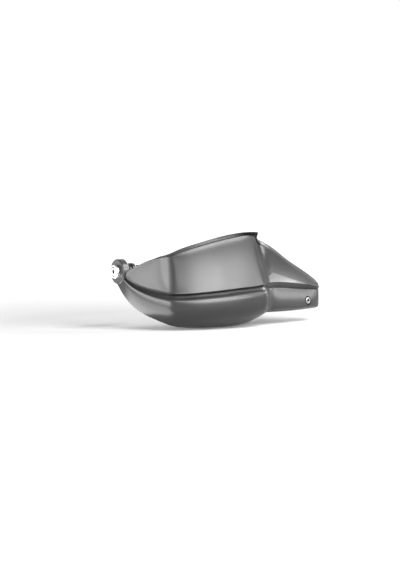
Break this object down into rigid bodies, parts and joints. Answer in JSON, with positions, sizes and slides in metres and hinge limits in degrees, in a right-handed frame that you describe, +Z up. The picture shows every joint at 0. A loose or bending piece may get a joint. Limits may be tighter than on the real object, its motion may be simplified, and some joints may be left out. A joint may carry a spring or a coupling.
{
  "type": "motorcycle hand guard",
  "caption": "Moulded hand guard for the right end of a handlebar, with a scooped panel, a belt, a wing and an arm, a bar-end plug and an inner clamp.",
  "frame": {"origin": "on the grip axis, in the middle of the inner handlebar clamp", "axes": "+X inboard along the grip axis, -Y towards the front of the motorcycle, +Z up"},
  "size_m": [0.346, 0.129, 0.1435],
  "materials": {
    "moulding": "satin moulded grey-black plastic",
    "bright_steel": "bright zinc-plated steel",
    "turned_aluminium": "turned aluminium",
    "black_metal": "black anodised",
    "black_steel": "black powder-coated sheet steel",
    "rubber": "matt black rubber"
  },
  "bodies": {
    "root": {"guard_shell": "moulding", "bar_end_screw": "bright_steel", "bar_end_cap": "turned_aluminium", "bar_end_bush": "bright_steel", "bar_end_spacer": "black_metal", "bar_end_washer": "bright_steel", "plug_washer": "bright_steel", "plug_rubber": "rubber", "plug_cone": "turned_aluminium", "arm_screw": "bright_steel", "arm_washer": "bright_steel", "arm_sleeve": "bright_steel", "arm_pad": "rubber", "inner_bracket": "black_steel", "arm_back_washer": "bright_steel", "arm_nut": "bright_steel", "clamp_upper": "black_metal", "clamp_lower": "black_metal", "liner_upper": "rubber", "liner_lower": "rubber", "clamp_screws": "bright_steel", "clamp_washers": "bright_steel", "bracket_screw": "bright_steel", "bracket_washer": "bright_steel"}
  },
  "joints": []
}
